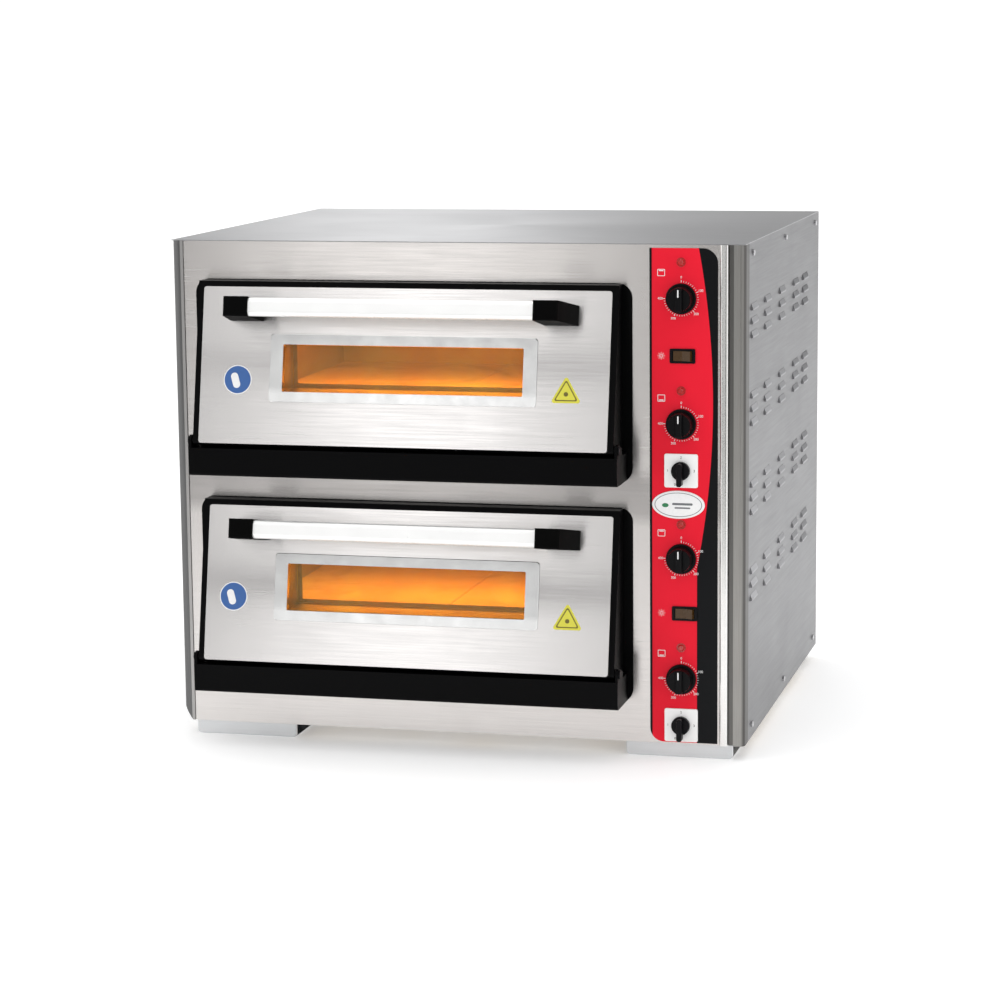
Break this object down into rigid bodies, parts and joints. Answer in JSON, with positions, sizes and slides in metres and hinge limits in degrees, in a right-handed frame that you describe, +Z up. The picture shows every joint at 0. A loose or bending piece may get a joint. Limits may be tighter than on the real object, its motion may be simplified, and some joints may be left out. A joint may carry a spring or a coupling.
{
  "type": "countertop pizza oven",
  "caption": "Double-deck electric pizza oven in a steel cabinet, with drop-down glazed doors, bar handles and a red control strip at the right.",
  "frame": {"origin": "middle of the whole object's footprint, on the surface it stands on", "axes": "+Z up; -Y out of the front, where the doors are; +X to the right of someone facing the doors"},
  "size_m": [0.866, 0.8698, 0.75],
  "materials": {
    "fascia_steel": "satin",
    "door_steel": "satin",
    "casing_steel": "satin",
    "top_steel": "satin",
    "zinc_steel": "satin",
    "foot_steel": "satin",
    "screw_steel": "satin",
    "edge_steel": "satin",
    "dark_edge": "satin",
    "trim_chrome": "polished",
    "window_steel": "polished",
    "handle_steel": "satin",
    "chamber_steel": "satin",
    "liner_steel": "satin",
    "pin_steel": "satin",
    "heater_steel": "matte",
    "black_enamel": "satin",
    "firebrick": "matte",
    "mineral_wool": "matte",
    "woven_seal": "matte",
    "window_glass": "gloss",
    "lamp_glass": "gloss",
    "lamp_cup": "satin",
    "red_film": "gloss",
    "badge_white": "gloss",
    "plate_white": "satin",
    "switch_black": "satin",
    "rocker_olive": "gloss",
    "knob_black": "satin",
    "handle_black": "satin",
    "pilot_red": "gloss",
    "bakelite": "matte",
    "gland_nylon": "matte"
  },
  "bodies": {
    "oven_body": {"front_fascia": "fascia_steel", "left_side_panel": "casing_steel", "right_side_panel": "casing_steel", "back_panel": "casing_steel", "top_cover": "top_steel", "base_tray": "zinc_steel", "control_partition": "zinc_steel", "feet": "foot_steel", "casing_screws": "screw_steel", "right_edge_trim": "edge_steel", "left_edge_trim": "dark_edge", "chrome_trim_strip": "trim_chrome", "upper_chamber": "chamber_steel", "lower_chamber": "chamber_steel", "upper_heating_elements": "heater_steel", "lower_heating_elements": "heater_steel", "door_surrounds": "black_enamel", "upper_hinge_sill": "black_enamel", "lower_hinge_sill": "black_enamel", "upper_baking_stones": "firebrick", "lower_baking_stones": "firebrick", "insulation_slabs": "mineral_wool", "door_seals": "woven_seal", "oven_lamp_lenses": "lamp_glass", "oven_lamp_housings": "lamp_cup", "control_overlay": "red_film", "oval_badge": "badge_white", "cam_switch_plates": "plate_white", "rocker_frames": "switch_black", "indicator_lamps": "pilot_red", "thermostat_bodies": "bakelite", "cam_switch_bodies": "bakelite", "terminal_block": "bakelite", "cable_gland": "gland_nylon"},
    "upper_door": {"upper_door_frame": "black_enamel", "upper_door_panel": "door_steel", "upper_door_liner": "liner_steel", "upper_door_insulation": "mineral_wool", "upper_window_trim": "window_steel", "upper_window_panes": "window_glass", "upper_handle_brackets": "handle_black", "upper_handle_bar": "handle_steel", "upper_hinge_pins": "pin_steel"},
    "lower_door": {"lower_door_frame": "black_enamel", "lower_door_panel": "door_steel", "lower_door_liner": "liner_steel", "lower_door_insulation": "mineral_wool", "lower_window_trim": "window_steel", "lower_window_panes": "window_glass", "lower_handle_brackets": "handle_black", "lower_handle_bar": "handle_steel", "lower_hinge_pins": "pin_steel"},
    "upper_top_knob": {"upper_top_knob": "knob_black"},
    "upper_bottom_knob": {"upper_bottom_knob": "knob_black"},
    "lower_top_knob": {"lower_top_knob": "knob_black"},
    "lower_bottom_knob": {"lower_bottom_knob": "knob_black"},
    "upper_switch_knob": {"upper_switch_knob": "switch_black"},
    "lower_switch_knob": {"lower_switch_knob": "switch_black"},
    "upper_lamp_rocker": {"upper_lamp_rocker": "rocker_olive"},
    "lower_lamp_rocker": {"lower_lamp_rocker": "rocker_olive"}
  },
  "joints": [
    {"name": "upper_door_hinge", "type": "hinge", "parent": "oven_body", "child": "upper_door", "pos_m": [-0.0635, -0.38414, 0.46], "axis": [1, 0, 0], "range_deg": [0, 90]},
    {"name": "lower_door_hinge", "type": "hinge", "parent": "oven_body", "child": "lower_door", "pos_m": [-0.0635, -0.38414, 0.135], "axis": [1, 0, 0], "range_deg": [0, 90]},
    {"name": "upper_top_thermostat", "type": "hinge", "parent": "oven_body", "child": "upper_top_knob", "pos_m": [0.337, -0.32214, 0.672], "axis": [0, 1, 0], "range_deg": [0, 270]},
    {"name": "upper_bottom_thermostat", "type": "hinge", "parent": "oven_body", "child": "upper_bottom_knob", "pos_m": [0.337, -0.32214, 0.492], "axis": [0, 1, 0], "range_deg": [0, 270]},
    {"name": "lower_top_thermostat", "type": "hinge", "parent": "oven_body", "child": "lower_top_knob", "pos_m": [0.337, -0.32214, 0.296], "axis": [0, 1, 0], "range_deg": [0, 270]},
    {"name": "lower_bottom_thermostat", "type": "hinge", "parent": "oven_body", "child": "lower_bottom_knob", "pos_m": [0.337, -0.32214, 0.1185], "axis": [0, 1, 0], "range_deg": [0, 270]},
    {"name": "upper_switch_turn", "type": "hinge", "parent": "oven_body", "child": "upper_switch_knob", "pos_m": [0.337, -0.32433, 0.4245], "axis": [0, 1, 0], "range_deg": [0, 270]},
    {"name": "lower_switch_turn", "type": "hinge", "parent": "oven_body", "child": "lower_switch_knob", "pos_m": [0.337, -0.32433, 0.05], "axis": [0, 1, 0], "range_deg": [0, 270]},
    {"name": "upper_lamp_switch", "type": "hinge", "parent": "oven_body", "child": "upper_lamp_rocker", "pos_m": [0.339, -0.31914, 0.59], "axis": [0, 0, 1], "range_deg": [0, 16]},
    {"name": "lower_lamp_switch", "type": "hinge", "parent": "oven_body", "child": "lower_lamp_rocker", "pos_m": [0.342, -0.31914, 0.2155], "axis": [0, 0, 1], "range_deg": [0, 16]}
  ]
}
